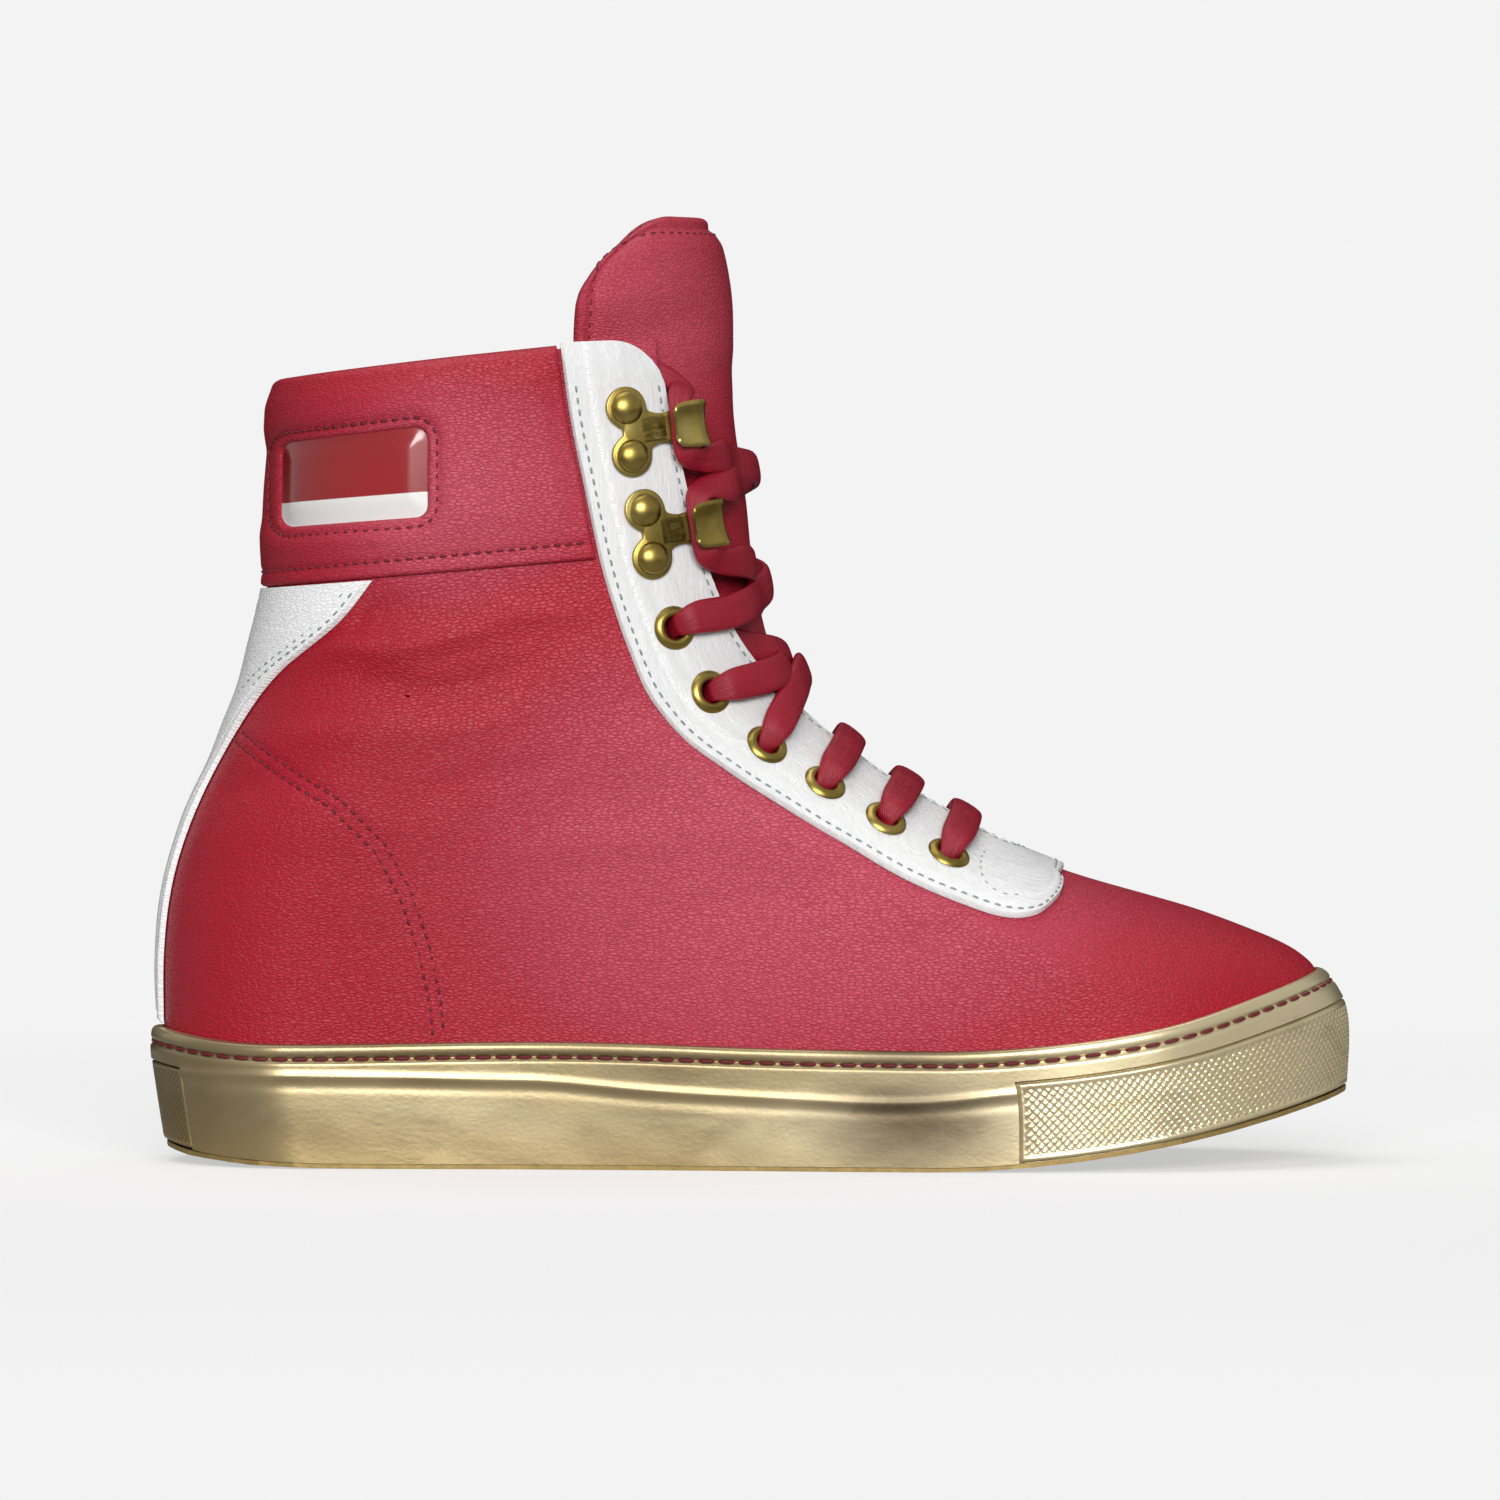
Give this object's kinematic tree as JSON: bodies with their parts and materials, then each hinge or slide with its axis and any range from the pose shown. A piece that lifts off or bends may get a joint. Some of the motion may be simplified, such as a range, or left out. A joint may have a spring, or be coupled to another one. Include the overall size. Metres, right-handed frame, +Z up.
{
  "type": "boxing boot",
  "caption": "High-top lace-up boxing boot, right foot, with a padded collar and tongue, brass eyelets and lace hooks, and a foil-covered cup sole.",
  "frame": {"origin": "on the ground, in the middle of the boot's length and width", "axes": "+X to the toe, -Y to the outer (lateral) side, +Z up"},
  "size_m": [0.2996, 0.1042, 0.2352],
  "materials": {
    "red_leather": "grained, semi matt",
    "white_leather": "grained, semi matt",
    "gold_sole": "covered with gold foil, worn",
    "brass": "polished",
    "red_lace": "flat padded lace",
    "red_thread": "sewing thread",
    "lining": "smooth lining",
    "foam": "open foam",
    "board": "fibre board",
    "footbed": "cloth over foam",
    "label": "glossy",
    "aglet": "glossy"
  },
  "bodies": {
    "boot": {"outsole": "gold_sole", "sidewall": "gold_sole", "toe_bumper": "gold_sole", "heel_patch": "gold_sole", "sidewall_thread": "red_thread", "midsole": "foam", "insole_board": "board", "footbed": "footbed", "heel_counter": "board", "toe_puff": "board", "upper": "red_leather", "backstay": "white_leather", "eyestay": "white_leather", "collar_band": "red_leather", "collar_foam": "foam", "label_insert": "label", "lining": "lining", "tongue_face": "red_leather", "tongue_foam": "foam", "tongue_lining": "lining", "eyelet_washers": "brass", "hook_rivets": "brass", "rivet_washers": "brass", "lace": "red_lace", "aglet_lateral": "aglet", "aglet_medial": "aglet", "eyelet_lateral_1": "brass", "eyelet_lateral_2": "brass", "eyelet_lateral_3": "brass", "eyelet_lateral_4": "brass", "eyelet_lateral_5": "brass", "eyelet_lateral_6": "brass", "eyelet_medial_1": "brass", "eyelet_medial_2": "brass", "eyelet_medial_3": "brass", "eyelet_medial_4": "brass", "eyelet_medial_5": "brass", "eyelet_medial_6": "brass", "lace_hook_lateral_upper": "brass", "lace_hook_lateral_lower": "brass", "lace_hook_medial_upper": "brass", "lace_hook_medial_lower": "brass"},
    "tongue_top": {"tongue_top_face": "red_leather", "tongue_top_foam": "foam", "tongue_top_lining": "lining"}
  },
  "joints": [
    {"name": "tongue_fold", "type": "hinge", "parent": "boot", "child": "tongue_top", "pos_m": [-0.0045, 0, 0.2062], "axis": [0, 1, 0], "range_deg": [0, 40], "stiffness_Nm_per_rad": 0.05}
  ]
}
